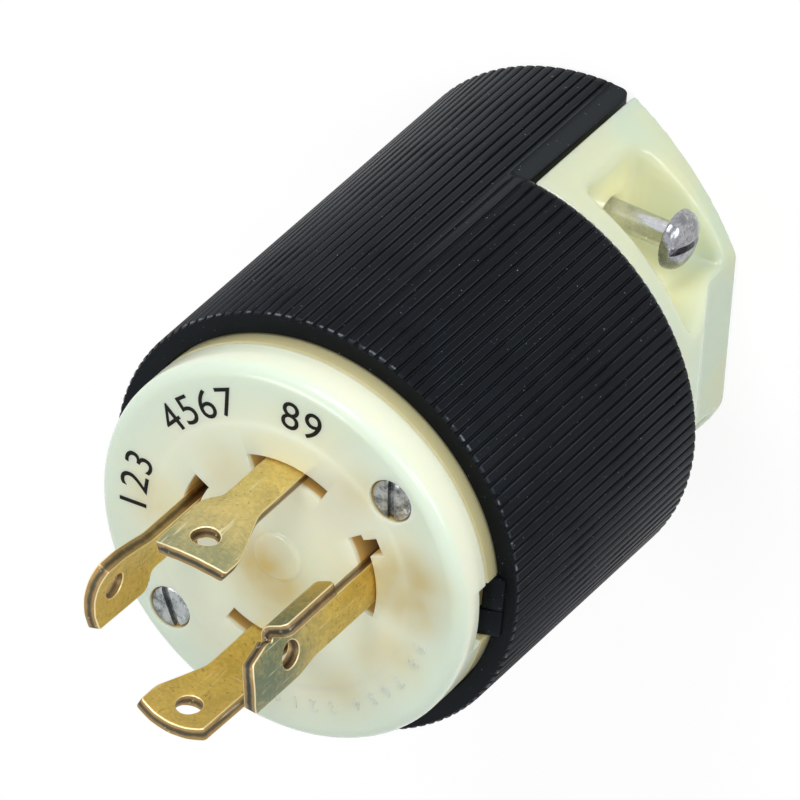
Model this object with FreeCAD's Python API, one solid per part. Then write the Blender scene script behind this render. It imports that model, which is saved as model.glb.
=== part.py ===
import FreeCAD, Part
import math
import os

# Four-wire locking power plug, millimetres.
# The frame has its origin at the centre of the rear end, with +Z along the plug towards the blades.
# The two assembly screws lie on the X axis, and the cord clamp opens at 45 degrees between +X and -Y.
# Sizes of the shell
shell_radius = 25.4
rib_count = 120
rib_depth = 0.5
rib_crest_share = 0.34
rib_root_share = 0.26
shell_length = 57.0
tongue_length = 20.6
shell_wall = 2.5
shell_bore_radius = shell_radius - shell_wall
rim_chamfer = 0.35
web_thickness = 2.6
tongue_wall = 2.6
tongue_overlap = 2.3
tongue_band = 2.2
tongue_corner = 1.2

# Sizes of the key that stops the face turning in the shell
key_angle = -46.0
key_width = 7.4
key_depth = 1.7
key_rise = 1.5
key_root = 5.0
key_bevel = 0.5
key_clearance = 0.15

# Sizes of the front body
face_rise = 7.0
face_radius = shell_bore_radius
face_edge_radius = 1.6
face_edge_steps = 4
flange_height = 1.4
flange_groove = 0.3
body_share = 0.325
body_clearance = 0.2
pad_rise = 0.25
boss_radius = 2.8
boss_rise = 0.3
soft_edge = 0.15

# Sizes of the blades
blade_radius = 12.1
pad_radius = blade_radius + 4.0
blade_sheet = 1.5
blade_angles = {"x": 43.2, "y": 130.5, "z": 221.0}
ground_angle = -32.8
blade_reach = 19.5
ground_reach = 23.5
neck_low = -2.1
neck_high = 2.9
tip_low = -4.4
tip_high = 4.75
tip_taper = 0.25
tip_crown = 0.6
tip_round = 0.8
shoulder_height = 9.0
shoulder_fillet = 1.2
shoulder_round = 1.6
flare_round = 5.0
flare_start = 9.0
flare_end = 16.0
blade_hole_radius = 1.6
blade_hole_height = 15.7
blade_hole_side = 0.3
ground_neck_low = -3.3
ground_neck_high = 1.7
ground_tip_low = -4.2
ground_tip_high = 2.1
ground_notch = 2.5
ground_shoulder = 3.0
ground_shoulder_rise = 0.8
ground_flare_start = 11.6
ground_flare_end = 14.6
ground_hole_height = 16.4
ground_hole_side = -0.3
lip_start = 9.0
lip_end = 18.8
lip_reach = blade_radius + 1.4
lip_offset = 3.5
lip_round = 1.0
lip_bend = 1.1
slot_half_width = 5.0
slot_clearance = 0.25

# Sizes of the terminals behind the face
wiring_share = 0.2
block_clearance = 0.5
ear_height = 3.0
ear_side = 1.3
tail_width = 4.6
tail_share = 0.69
chamber_half_angle = 20.0
roof_share = 0.31
core_radius = blade_radius - blade_sheet - 1.2
plate_thickness = 1.2
plate_width = 4.2
plate_margin_share = 0.0934
terminal_share = 0.655
terminal_screw_radius = 1.75
terminal_head_radius = 2.9
terminal_head_height = 1.7
terminal_head_chamfer = 0.5
terminal_screw_length = 7.0
thread_clearance = 0.05

# Sizes of the assembly screws and their inserts
assembly_radius = shell_bore_radius - 4.5
assembly_screw_radius = 1.5
assembly_head_radius = 2.45
assembly_head_height = 2.0
assembly_head_sink = 0.3
assembly_hole_clearance = 0.15
post_radius = 3.6
insert_radius = 2.4
insert_length = 4.0
screw_past_insert = 0.8
slot_width = 0.8
slot_depth = 0.9

# Sizes of the cord clamp
clamp_turn = 45.0
clamp_radius = shell_radius - 0.4
clamp_drop_front = 0.5
clamp_rear_side = 0.734 * clamp_radius
clamp_rear_out = 0.437 * clamp_radius
clamp_rear_top = 0.822 * clamp_radius
clamp_rear_start = 1.031 * clamp_radius
clamp_start = 0.04 * clamp_radius
clamp_flat = clamp_radius - 7.9
clamp_flat_length = 6.0
clamp_slope = 0.53
clamp_gap = 0.3
jaw_clearance = 0.1
clamp_screw_side = clamp_radius - 9.1
cord_radius = clamp_screw_side - 5.9
tooth_depth = 1.5
tooth_land = 3.0
tooth_pitch = 6.0
tooth_count = 3
ledge_height = 6.3
ledge_top = 16.0
ledge_bottom = 5.0
ledge_side = clamp_screw_side - 3.9
ledge_slope = 2.0
ledge_run = 8.0
ledge_fillet = 1.6
clamp_screw_height = 9.0
clamp_screw_radius = 1.55
clamp_screw_gap = 7.7
clamp_head_radius = 3.45
clamp_head_height = 2.3
clamp_rim = 0.5
clamp_slot_turn = 95.0
nut_across = 6.4
nut_thickness = 2.6
nut_depth = 4.5
nut_clearance = 0.15
screw_past_nut = 1.5
cord_hole_radius = cord_radius + 2.5
shield_radius = cord_hole_radius + 1.8
shield_hole_radius = cord_radius - 2.5
shield_thickness = 1.2

# Places that follow from the sizes
barrel_rear = tongue_length
web_top = barrel_rear + web_thickness
face_z = shell_length + face_rise
inner_room = shell_length - web_top
body_bottom = shell_length - body_share * inner_room
block_bottom = web_top + wiring_share * inner_room
block_length = body_bottom - block_bottom
tail_length = tail_share * block_length
chamber_roof = roof_share * block_length
terminal_drop = terminal_share * block_length
plate_margin = plate_margin_share * block_length
plate_height = 2 * (terminal_drop - chamber_roof - plate_margin)
rib_valley_radius = shell_radius - rib_depth
tongue_inner_radius = rib_valley_radius - tongue_wall
assembly_angles = (0.0, 180.0)
past = 1.0
far = 2.0 * shell_radius


def at(x, y, z):
    return FreeCAD.Vector(x, y, z)


UP = at(0, 0, 1)
CENTRE = at(0, 0, 0)


def polar(radius, angle, z=0.0):
    turn = math.radians(angle)
    return at(radius * math.cos(turn), radius * math.sin(turn), z)


def turned(shape, angle):
    shape.rotate(CENTRE, UP, angle)
    return shape


def cylinder(radius, low, high, x=0.0, y=0.0):
    return Part.makeCylinder(radius, high - low, at(x, y, low))


def box(low, high):
    return Part.makeBox(high[0] - low[0], high[1] - low[1], high[2] - low[2], at(*low))


def sector(radius, low, high, start, end):
    wedge = Part.makeCylinder(radius, high - low, at(0, 0, low), UP, end - start)
    return turned(wedge, start)


def ring(outer, inner, low, high):
    return cylinder(outer, low, high).cut(cylinder(inner, low - past, high + past))


def revolved(points):
    """Turns a closed outline of (radius, z) points about the plug's axis."""
    corners = [at(radius, 0, z) for radius, z in points]
    outline = Part.makePolygon(corners + [corners[0]])
    return Part.Face(outline).revolve(CENTRE, UP, 360)


def prism(points, place, along):
    """Extrudes a closed outline; place turns an outline's point into a place in the frame."""
    corners = [place(*point) for point in points]
    outline = Part.makePolygon(corners + [corners[0]])
    return Part.Face(outline).extrude(along)


def rounded_outline(points, place):
    """A closed face through points (across, height, corner radius), with each corner rounded."""
    edges = []
    last = None
    first = None
    count = len(points)
    for index, (across, height, radius) in enumerate(points):
        here = place(across, height)
        if radius == 0:
            start, end = here, here
        else:
            before = place(*points[index - 1][:2]) - here
            after = place(*points[(index + 1) % count][:2]) - here
            before.normalize()
            after.normalize()
            half_turn = before.getAngle(after) / 2
            reach = radius / math.tan(half_turn)
            bisector = before + after
            bisector.normalize()
            start = here + before * reach
            end = here + after * reach
            middle = here + bisector * (radius / math.sin(half_turn) - radius)
        if last is not None:
            edges.append(Part.LineSegment(last, start).toShape())
        else:
            first = start
        if radius > 0:
            edges.append(Part.Arc(start, middle, end).toShape())
        last = end
    edges.append(Part.LineSegment(last, first).toShape())
    return Part.Face(Part.Wire(edges))


def edges_where(shape, test):
    return [edge for edge in shape.Edges if test(edge)]


def at_circle(edge, radius, z):
    """True for an edge that lies at this radius and height all the way."""
    near = 0.01
    for vertex in edge.Vertexes:
        point = vertex.Point
        if abs(math.hypot(point.x, point.y) - radius) > near or abs(point.z - z) > near:
            return False
    return len(edge.Vertexes) > 0


def ribbed_rod(low, high):
    """The ribbed outside of the shell as a solid rod: each rib has a crest, two flanks and a root."""
    pitch = 360.0 / rib_count
    crest = pitch * rib_crest_share / 2
    root = pitch * rib_root_share / 2
    corners = []
    for rib in range(rib_count):
        middle = rib * pitch
        corners.append(polar(shell_radius, middle - crest, low))
        corners.append(polar(shell_radius, middle + crest, low))
        corners.append(polar(rib_valley_radius, middle + pitch / 2 - root, low))
        corners.append(polar(rib_valley_radius, middle + pitch / 2 + root, low))
    outline = Part.makePolygon(corners + [corners[0]])
    return Part.Face(outline).extrude(at(0, 0, high - low))


def tongue():
    """The half-round rear extension that covers the fixed jaw, before it turns to the clamp's side."""
    ribbed = ribbed_rod(0, barrel_rear + past)
    ribbed = ribbed.common(box((-far, tongue_band - tongue_overlap, 0), (far, far, barrel_rear + past)))
    smooth = cylinder(rib_valley_radius, 0, barrel_rear + past)
    smooth = smooth.common(box((-far, -tongue_overlap, 0), (far, far, barrel_rear + past)))
    tongue_body = ribbed.fuse(smooth)
    tongue_body = tongue_body.cut(cylinder(tongue_inner_radius, -past, barrel_rear))
    for side in (-1, 1):
        corner = tongue_corner_cutter()
        if side < 0:
            corner = corner.mirror(CENTRE, at(1, 0, 0))
        tongue_body = tongue_body.cut(corner)
    return tongue_body


def tongue_corner_cutter():
    """Rounds off one rear corner of the tongue, where its edge meets its end."""
    edge = -tongue_overlap
    block = box((0, edge - past, -past), (far, edge + tongue_corner, tongue_corner))
    rounding = Part.makeCylinder(tongue_corner, far, at(0, edge + tongue_corner, tongue_corner), at(1, 0, 0))
    return block.cut(rounding)


def shell_key(grow):
    """The key inside the rim, or with grow its notch in the face."""
    half = key_width / 2 + grow
    inner = shell_bore_radius - key_depth - grow
    top = shell_length + key_rise + grow
    key = box((inner, -half, shell_length - key_root), (shell_bore_radius + past, half, top))
    if grow == 0:
        lines = edges_where(key, lambda edge: all(abs(v.Point.z - top) < 0.01 for v in edge.Vertexes))
        inward = [line for line in lines if line.BoundBox.XMin < shell_bore_radius]
        key = key.makeChamfer(key_bevel, inward)
        key = key.cut(box((inner - past, -slot_width, top - key_bevel), (inner + key_depth / 2, slot_width, top + past)))
        key = key.common(cylinder(shell_radius - 3 * rib_depth, 0, top + past))
    return turned(key, key_angle)


def outer_shell():
    barrel = ribbed_rod(barrel_rear, shell_length)
    trim = revolved([(shell_radius - rim_chamfer, shell_length + past),
                     (shell_radius - rim_chamfer, shell_length),
                     (shell_radius, shell_length - rim_chamfer),
                     (far, shell_length - rim_chamfer), (far, shell_length + past)])
    barrel = barrel.cut(trim)
    barrel = barrel.cut(cylinder(shell_bore_radius, web_top, shell_length + past))
    shell = barrel.fuse(turned(tongue(), clamp_turn))
    for angle in assembly_angles:
        post = cylinder(post_radius, web_top - past, block_bottom, assembly_radius)
        wall = box((assembly_radius, -post_radius, web_top - past),
                   (shell_bore_radius + past / 2, post_radius, block_bottom))
        shell = shell.fuse(turned(post.fuse(wall), angle))
    shell = shell.cut(cylinder(cord_hole_radius, -past, block_bottom))
    for angle in assembly_angles:
        top_pocket = cylinder(insert_radius, block_bottom - insert_length, block_bottom + past, assembly_radius)
        relief = cylinder(assembly_screw_radius + assembly_hole_clearance,
                          block_bottom - insert_length - screw_past_insert - past, block_bottom, assembly_radius)
        shell = shell.cut(turned(top_pocket.fuse(relief), angle))
    shell = shell.fuse(shell_key(0))
    return shell.removeSplitter()


def slot_cutter(lip):
    """The curved slot that a blade comes out of, with the lip's pocket at one end of the ground slot."""
    outer = blade_radius + slot_clearance
    inner = blade_radius - blade_sheet - slot_clearance
    band = ring(outer, inner, body_bottom - past, face_z + past)
    slot = band.common(box((0, -slot_half_width, body_bottom - past), (far, slot_half_width, face_z + past)))
    if lip:
        pocket_angle = lip_angle()
        half = blade_sheet / 2 + slot_clearance
        pocket = box((inner, -half, body_bottom - past), (lip_reach + slot_clearance, half, face_z + past))
        slot = slot.fuse(turned(pocket, pocket_angle))
    return slot


def lip_angle():
    return math.degrees(math.asin(lip_offset / blade_radius))


def face_rounding():
    """Points along the large rounding of the face's edge, after its start at the side wall."""
    points = []
    for step in range(1, face_edge_steps + 1):
        turn = math.radians(90.0 * step / face_edge_steps)
        points.append((face_radius - face_edge_radius + face_edge_radius * math.cos(turn),
                       face_z - face_edge_radius + face_edge_radius * math.sin(turn)))
    return points


def soft_disc(radius, top):
    """A low round rise on the face, with its top edge eased."""
    disc = cylinder(radius, face_z - past, top)
    return disc.makeChamfer(soft_edge, edges_where(disc, lambda edge: at_circle(edge, radius, top)))


def front_body():
    inside = shell_bore_radius - body_clearance
    top_edge = shell_length + flange_height
    body = revolved([(0, body_bottom), (inside, body_bottom), (inside, shell_length),
                     (face_radius, shell_length), (face_radius, top_edge),
                     (face_radius - flange_groove, top_edge + flange_groove),
                     (face_radius - flange_groove / 2, top_edge + 2 * flange_groove),
                     (face_radius, face_z - face_edge_radius)] + face_rounding() + [(0, face_z)])
    pad = soft_disc(pad_radius, face_z + pad_rise)
    boss = soft_disc(boss_radius, face_z + pad_rise + boss_rise)
    body = body.fuse([pad, boss])
    body = body.cut(shell_key(key_clearance))
    for angle in blade_angles.values():
        body = body.cut(turned(slot_cutter(False), angle))
    body = body.cut(turned(slot_cutter(True), ground_angle))
    for angle in assembly_angles:
        body = body.cut(turned(assembly_hole(body_bottom - past), angle))
    return body.removeSplitter()


def assembly_hole(low):
    """Shank hole and head counterbore of an assembly screw, on the +X side."""
    shank = cylinder(assembly_screw_radius + assembly_hole_clearance, low, face_z, assembly_radius)
    head_low = face_z - assembly_head_sink - assembly_head_height
    head = cylinder(assembly_head_radius + assembly_hole_clearance, head_low, face_z + past, assembly_radius)
    return shank.fuse(head)


def phase_outline():
    """A phase blade from its tail to its hooked tip, as (across, height, corner radius)."""
    middle = (neck_low + neck_high) / 2
    shoulder = face_z + shoulder_height
    tip = face_z + blade_reach
    return tail_outline(neck_low, neck_high) + [
        (neck_high, shoulder, shoulder_fillet),
        (tip_high, shoulder, shoulder_round),
        (tip_high - tip_taper, tip - tip_crown, tip_round),
        (middle, tip, 0),
        (tip_low, tip - tip_crown, tip_round),
        (tip_low, face_z + flare_end, flare_round),
        (neck_low, face_z + flare_start, flare_round)]


def ground_outline():
    """The ground blade, which is longer, and whose high edge carries the folded lip."""
    middle = (ground_tip_low + ground_tip_high) / 2
    tip = face_z + ground_reach
    lip_low = face_z + lip_start
    lip_high = face_z + lip_end
    return tail_outline(ground_neck_low, ground_neck_high) + [
        (ground_neck_high, lip_low, 0),
        (lip_offset, lip_low, 0),
        (lip_offset, lip_high, 0),
        (ground_notch, lip_high, 0),
        (ground_shoulder, lip_high + ground_shoulder_rise, 0),
        (ground_tip_high, tip - tip_crown, tip_round),
        (middle, tip, 0),
        (ground_tip_low, tip - tip_crown, tip_round),
        (ground_tip_low, face_z + ground_flare_end, tip_round),
        (ground_neck_low, face_z + ground_flare_start, tip_round)]


def tail_outline(low, high):
    """The hidden end of a blade: a tail for the terminal, and ears that the block holds down."""
    middle = (low + high) / 2
    tail_low = body_bottom - ear_height - tail_length
    ear_low = body_bottom - ear_height
    half = tail_width / 2
    return [(low, body_bottom, 0),
            (low - ear_side, body_bottom, 0),
            (low - ear_side, ear_low, 0),
            (middle - half, ear_low, 0),
            (middle - half, tail_low, tip_round),
            (middle + half, tail_low, tip_round),
            (middle + half, ear_low, 0),
            (high + ear_side, ear_low, 0),
            (high + ear_side, body_bottom, 0),
            (high, body_bottom, 0)]


def sheet_from(outline, grow=0.0):
    """Cuts an outline out of the curved sheet: the blade's middle faces +X."""
    band = ring(blade_radius + grow, blade_radius - blade_sheet - grow, 0, face_z + 2 * ground_reach)
    flat = rounded_outline(outline, lambda across, height: at(0, across, height))
    return band.common(flat.extrude(at(far, 0, 0)))


def drilled(blade, middle, hole_side, hole_height):
    """Drills the hole near the tip and the tapped hole for the terminal screw."""
    hole = Part.makeCylinder(blade_hole_radius, far, at(0, hole_side, face_z + hole_height), at(1, 0, 0))
    blade = blade.cut(hole)
    tapped = Part.makeCylinder(terminal_screw_radius + thread_clearance, far, CENTRE, at(1, 0, 0))
    return blade.cut(placed_terminal(tapped, middle))


def placed_terminal(shape, middle):
    """Moves a shape along +X from the origin to the terminal's height and to the neck's middle."""
    shape.translate(at(0, 0, body_bottom - terminal_drop))
    return turned(shape, math.degrees(math.asin(middle / blade_radius)))


def phase_blade():
    return drilled(sheet_from(phase_outline()), (neck_low + neck_high) / 2, blade_hole_side, blade_hole_height)


def ground_blade():
    sheet = sheet_from(ground_outline())
    blade = sheet.fuse(ground_lip())
    middle = (ground_neck_low + ground_neck_high) / 2
    return drilled(blade, middle, ground_hole_side, ground_hole_height).removeSplitter()


def ground_lip():
    """The edge of the ground blade folded outwards, with a round bend and round free corners."""
    low = face_z + lip_start
    high = face_z + lip_end
    inner = blade_radius - blade_sheet
    half = blade_sheet / 2
    corners = [(inner, low, 0), (lip_reach, low, lip_round), (lip_reach, high, lip_round), (inner, high, 0)]
    lip = rounded_outline(corners, lambda across, height: at(across, -half, height))
    lip = lip.extrude(at(0, blade_sheet, 0))
    bend = edges_where(lip, lambda edge: edge.BoundBox.XMax < inner + 0.01 and edge.BoundBox.YMin > half - 0.01)
    return turned(lip.makeFillet(lip_bend, bend), lip_angle())


def terminal_middle(name):
    if name == "ground":
        return ground_angle, (ground_neck_low + ground_neck_high) / 2
    return blade_angles[name], (neck_low + neck_high) / 2


def terminal_plate():
    """The pressure plate that lies on the outside of a tail and holds the wire."""
    outer = blade_radius + plate_thickness
    plate = ring(outer, blade_radius, -plate_height / 2, plate_height / 2)
    flat = rounded_outline([(-plate_width / 2, -plate_height / 2, tip_round),
                            (plate_width / 2, -plate_height / 2, tip_round),
                            (plate_width / 2, plate_height / 2, tip_round),
                            (-plate_width / 2, plate_height / 2, tip_round)],
                           lambda across, height: at(0, across, height))
    plate = plate.common(flat.extrude(at(far, 0, 0)))
    return plate.cut(Part.makeCylinder(terminal_screw_radius + assembly_hole_clearance, far, CENTRE, at(1, 0, 0)))


def terminal_screw():
    """A binding-head screw along +X, with its head outside the plate."""
    seat = blade_radius + plate_thickness
    shank = Part.makeCylinder(terminal_screw_radius, terminal_screw_length, at(seat - terminal_screw_length, 0, 0),
                              at(1, 0, 0))
    head = Part.makeCylinder(terminal_head_radius, terminal_head_height, at(seat, 0, 0), at(1, 0, 0))
    top = seat + terminal_head_height
    rim = edges_where(head, lambda edge: edge.BoundBox.XMin > top - 0.01)
    head = head.makeChamfer(terminal_head_chamfer, rim)
    slot = box((top - slot_depth, -slot_width / 2, -far), (top + past, slot_width / 2, far))
    return shank.fuse(head).cut(slot)


def terminal_block():
    """The insulating block that holds the blades down and walls the four terminals off."""
    radius = shell_bore_radius - block_clearance
    block = cylinder(radius, block_bottom, body_bottom)
    for name in list(blade_angles) + ["ground"]:
        angle, middle = terminal_middle(name)
        chamber_top = body_bottom - chamber_roof
        chamber = sector(far, block_bottom - past, chamber_top, -chamber_half_angle, chamber_half_angle)
        chamber = chamber.cut(cylinder(core_radius, block_bottom - past, chamber_top))
        centre_turn = math.degrees(math.asin(middle / blade_radius))
        seat = blade_radius + plate_thickness
        relief = Part.makeCylinder(terminal_screw_radius + assembly_hole_clearance, far,
                                   at(seat - terminal_screw_length - block_clearance, 0, 0), at(1, 0, 0))
        relief.translate(at(0, 0, body_bottom - terminal_drop))
        block = block.cut(turned(chamber.fuse(relief), angle + centre_turn))
        low, high = (ground_neck_low, ground_neck_high) if name == "ground" else (neck_low, neck_high)
        passage = sheet_from(tail_passage(low, high), slot_clearance)
        block = block.cut(turned(passage, angle))
    for angle in assembly_angles:
        shank = cylinder(assembly_screw_radius + assembly_hole_clearance, block_bottom - past, body_bottom + past,
                         assembly_radius)
        block = block.cut(turned(shank, angle))
    return block.removeSplitter()


def tail_passage(low, high):
    """The room that a blade's ears and tail need in the block."""
    middle = (low + high) / 2
    half = tail_width / 2 + slot_clearance
    ear_low = body_bottom - ear_height
    ear_reach = ear_side + slot_clearance
    return [(low - ear_reach, body_bottom + past, 0),
            (low - ear_reach, ear_low, 0),
            (middle - half, ear_low, 0),
            (middle - half, block_bottom - past, 0),
            (middle + half, block_bottom - past, 0),
            (middle + half, ear_low, 0),
            (high + ear_reach, ear_low, 0),
            (high + ear_reach, body_bottom + past, 0)]


def assembly_screw():
    """A slotted screw from the face down into its insert, on the +X side."""
    head_top = face_z - assembly_head_sink
    head_low = head_top - assembly_head_height
    shank = cylinder(assembly_screw_radius, block_bottom - insert_length - screw_past_insert, head_low,
                     assembly_radius)
    head = cylinder(assembly_head_radius, head_low, head_top, assembly_radius)
    slot = box((assembly_radius - far, -slot_width / 2, head_top - slot_depth),
               (assembly_radius + far, slot_width / 2, head_top + past))
    return shank.fuse(head).cut(slot)


def assembly_insert():
    """The brass threaded insert pressed into a post of the shell."""
    outside = cylinder(insert_radius, block_bottom - insert_length, block_bottom, assembly_radius)
    bore = cylinder(assembly_screw_radius + thread_clearance, block_bottom - insert_length - past,
                    block_bottom + past, assembly_radius)
    return outside.cut(bore)


def cord_channel(top):
    """The toothed way for the cord: each tooth is a land at the cord's radius."""
    wide = cord_radius + tooth_depth
    points = [(0, -past), (cord_radius, -past)]
    for tooth in range(tooth_count):
        low = tooth * tooth_pitch
        points.append((cord_radius, low + tooth_land))
        points.append((wide, low + tooth_land + tooth_depth))
        points.append((wide, low + tooth_pitch - tooth_depth / 2))
        points.append((cord_radius, low + tooth_pitch))
    points.append((cord_radius, top + past))
    points.append((0, top + past))
    return revolved(points)


def clamp_outline(start, side, out, apex, height):
    """One end's outline of the moving jaw: two arcs that meet over the cord, closed by a line."""
    right = at(start, -clamp_start, height)
    left = at(-start, -clamp_start, height)
    over = at(0, -apex, height)
    first = Part.Arc(right, at(side, -out, height), over).toShape()
    second = Part.Arc(over, at(-side, -out, height), left).toShape()
    return Part.Wire([first, second, Part.LineSegment(left, right).toShape()])


def tilted_clamp_form(top):
    """The outside of the moving jaw: flush with the tongue along the split, closing in at the cord end."""
    lower = clamp_outline(clamp_rear_start, clamp_rear_side, clamp_rear_out, clamp_rear_top, 0)
    start = math.sqrt(clamp_radius ** 2 - (clamp_start + clamp_drop_front) ** 2)
    middle = clamp_radius * math.sin(math.radians(45.0))
    upper = clamp_outline(start, middle, middle - clamp_drop_front, clamp_radius - clamp_drop_front, top)
    form = Part.makeLoft([lower, upper], True, True)
    slope_end = clamp_flat + clamp_slope * (top - clamp_flat_length)
    flat = prism([(-clamp_flat, -past), (-clamp_flat, clamp_flat_length), (-slope_end, top), (-far, top),
                  (-far, -past)],
                 lambda across, height: at(-far, across, height), at(2 * far, 0, 0))
    return form.cut(flat)


def ledge_cutter():
    """The scooped pocket round one clamp screw, open to the outside, with a flat ledge for the head."""
    floor = -ledge_height
    rise = ledge_run
    side = prism([(floor, ledge_top), (floor, ledge_bottom), (floor - rise, ledge_bottom - ledge_slope),
                  (-far, ledge_bottom - ledge_slope), (-far, ledge_top)],
                 lambda across, height: at(ledge_side - ledge_slope, across, height), at(far, 0, 0))
    slant = prism([(ledge_side - ledge_slope - past, floor + past), (ledge_side, floor + past), (ledge_side, floor),
                   (ledge_side - ledge_slope, floor - rise), (ledge_side - ledge_slope, -far),
                   (ledge_side - ledge_slope - past, -far)],
                  lambda across, height: at(across, height, -past), at(0, 0, far))
    pocket = side.cut(slant)
    corner = edges_where(pocket, lambda edge: edge.BoundBox.YMin > floor - rise - 0.01 and
                         edge.BoundBox.ZMax < ledge_bottom + 0.01 and edge.BoundBox.XMax < far)
    return pocket.makeFillet(ledge_fillet, corner)


def cord_clamp():
    """The moving jaw, which the two clamp screws draw in on the cord."""
    top = barrel_rear - clamp_gap
    form = tilted_clamp_form(top)
    split = -tongue_overlap - clamp_gap
    jaw = form.common(box((-far, -far, 0), (far, split, top)))
    jaw = jaw.cut(cord_channel(top))
    for side in (-1, 1):
        pocket = ledge_cutter()
        if side < 0:
            pocket = pocket.mirror(CENTRE, at(1, 0, 0))
        jaw = jaw.cut(pocket)
        hole = Part.makeCylinder(clamp_screw_radius + assembly_hole_clearance, far,
                                 at(side * clamp_screw_side, 0, clamp_screw_height), at(0, -1, 0))
        jaw = jaw.cut(hole)
    return turned(jaw.removeSplitter(), clamp_turn)


def fixed_jaw():
    """The jaw that lies in the tongue and holds the clamp screws' nuts."""
    top = barrel_rear
    radius = tongue_inner_radius - jaw_clearance
    jaw = cylinder(radius, 0, top).common(box((-far, -tongue_overlap, 0), (far, far, top)))
    jaw = jaw.cut(cord_channel(top))
    for side in (-1, 1):
        hole = Part.makeCylinder(clamp_screw_radius + assembly_hole_clearance,
                                 tongue_overlap + nut_depth + nut_thickness + screw_past_nut + past,
                                 at(side * clamp_screw_side, -tongue_overlap - past, clamp_screw_height), at(0, 1, 0))
        half = nut_across / 2 + nut_clearance
        slot = box((side * clamp_screw_side - half, nut_depth, clamp_screw_height - half),
                   (side * clamp_screw_side + half, nut_depth + nut_thickness + nut_clearance, top + past))
        jaw = jaw.cut(hole).cut(slot)
    return turned(jaw.removeSplitter(), clamp_turn)


def clamp_screw():
    """A round-head slotted screw along -Y from the fixed jaw's nut to its head, backed out of its ledge."""
    seat = ledge_height + clamp_screw_gap
    end = nut_depth + nut_thickness + screw_past_nut
    shank = Part.makeCylinder(clamp_screw_radius, seat + end, at(0, end, 0), at(0, -1, 0))
    rim = Part.makeCylinder(clamp_head_radius, clamp_rim, at(0, -seat, 0), at(0, -1, 0))
    dome_height = clamp_head_height - clamp_rim
    dome_radius = (clamp_head_radius ** 2 + dome_height ** 2) / (2 * dome_height)
    ball = Part.makeSphere(dome_radius, at(0, -seat - clamp_head_height + dome_radius, 0))
    dome = ball.common(Part.makeCylinder(clamp_head_radius, dome_height, at(0, -seat - clamp_rim, 0), at(0, -1, 0)))
    slot = box((-far, -seat - clamp_head_height - past, -slot_width / 2),
               (far, -seat - clamp_head_height + slot_depth + clamp_rim, slot_width / 2))
    slot.rotate(CENTRE, at(0, 1, 0), clamp_slot_turn)
    return shank.fuse([rim, dome]).cut(slot)


def clamp_nut():
    """A square nut that a slot of the fixed jaw keeps from turning."""
    half = nut_across / 2
    nut = box((-half, nut_depth, -half), (half, nut_depth + nut_thickness, half))
    return nut.cut(Part.makeCylinder(clamp_screw_radius + thread_clearance, far, CENTRE, at(0, 1, 0)))


def placed_on_clamp(shape, side):
    shape.translate(at(side * clamp_screw_side, 0, clamp_screw_height))
    return turned(shape, clamp_turn)


def dust_shield():
    """The thin rubber ring round the cord, on the inside of the shell's web."""
    return ring(shield_radius, shield_hole_radius, web_top, web_top + shield_thickness)


def all_nodes():
    nodes = {"outer_shell": outer_shell(),
             "front_body": front_body(),
             "terminal_block": terminal_block(),
             "cord_clamp": cord_clamp(),
             "fixed_jaw": fixed_jaw(),
             "dust_shield": dust_shield(),
             "blade_ground": turned(ground_blade(), ground_angle)}
    for name, angle in blade_angles.items():
        nodes["blade_" + name] = turned(phase_blade(), angle)
    for name in list(blade_angles) + ["ground"]:
        angle, middle = terminal_middle(name)
        nodes["terminal_plate_" + name] = turned(placed_terminal(terminal_plate(), middle), angle)
        nodes["terminal_screw_" + name] = turned(placed_terminal(terminal_screw(), middle), angle)
    for number, angle in enumerate(assembly_angles, 1):
        nodes["assembly_screw_%d" % number] = turned(assembly_screw(), angle)
        nodes["assembly_insert_%d" % number] = turned(assembly_insert(), angle)
    for number, side in enumerate((1, -1), 1):
        nodes["clamp_screw_%d" % number] = placed_on_clamp(clamp_screw(), side)
        nodes["clamp_nut_%d" % number] = placed_on_clamp(clamp_nut(), side)
    return nodes


os.makedirs("parts", exist_ok=True)
for node, shape in sorted(all_nodes().items()):
    print(node, "solids", len(shape.Solids), "valid", shape.isValid(), "volume", round(shape.Volume, 1))
    shape.exportStep("parts/%s.step" % node)
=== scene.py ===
import math
from contextlib import contextmanager

import bmesh
import bpy
from mathutils import Matrix, Vector


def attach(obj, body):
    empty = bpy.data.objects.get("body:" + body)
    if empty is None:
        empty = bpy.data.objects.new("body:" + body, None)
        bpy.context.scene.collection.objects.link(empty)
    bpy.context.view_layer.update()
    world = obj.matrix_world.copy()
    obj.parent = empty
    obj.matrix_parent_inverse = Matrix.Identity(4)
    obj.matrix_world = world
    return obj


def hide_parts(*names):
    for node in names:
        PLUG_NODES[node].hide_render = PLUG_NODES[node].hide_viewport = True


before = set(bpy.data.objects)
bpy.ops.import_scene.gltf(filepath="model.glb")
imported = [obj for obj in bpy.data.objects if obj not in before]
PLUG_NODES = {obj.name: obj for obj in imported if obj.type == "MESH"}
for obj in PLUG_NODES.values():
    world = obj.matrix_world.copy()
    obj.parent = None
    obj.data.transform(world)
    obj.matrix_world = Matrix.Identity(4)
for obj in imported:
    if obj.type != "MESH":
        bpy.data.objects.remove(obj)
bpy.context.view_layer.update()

# Lengths in this script are millimetres, and finished meshes are scaled to metres once.
# Materials read metres.
METRE = 0.001

# Heights above the plug's rear end
TONGUE_Z = 20.6
WEB_Z = 23.2
BODY_BACK_Z = 46.0
RIM_Z = 57.0
FACE_Z = 64.0

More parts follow.
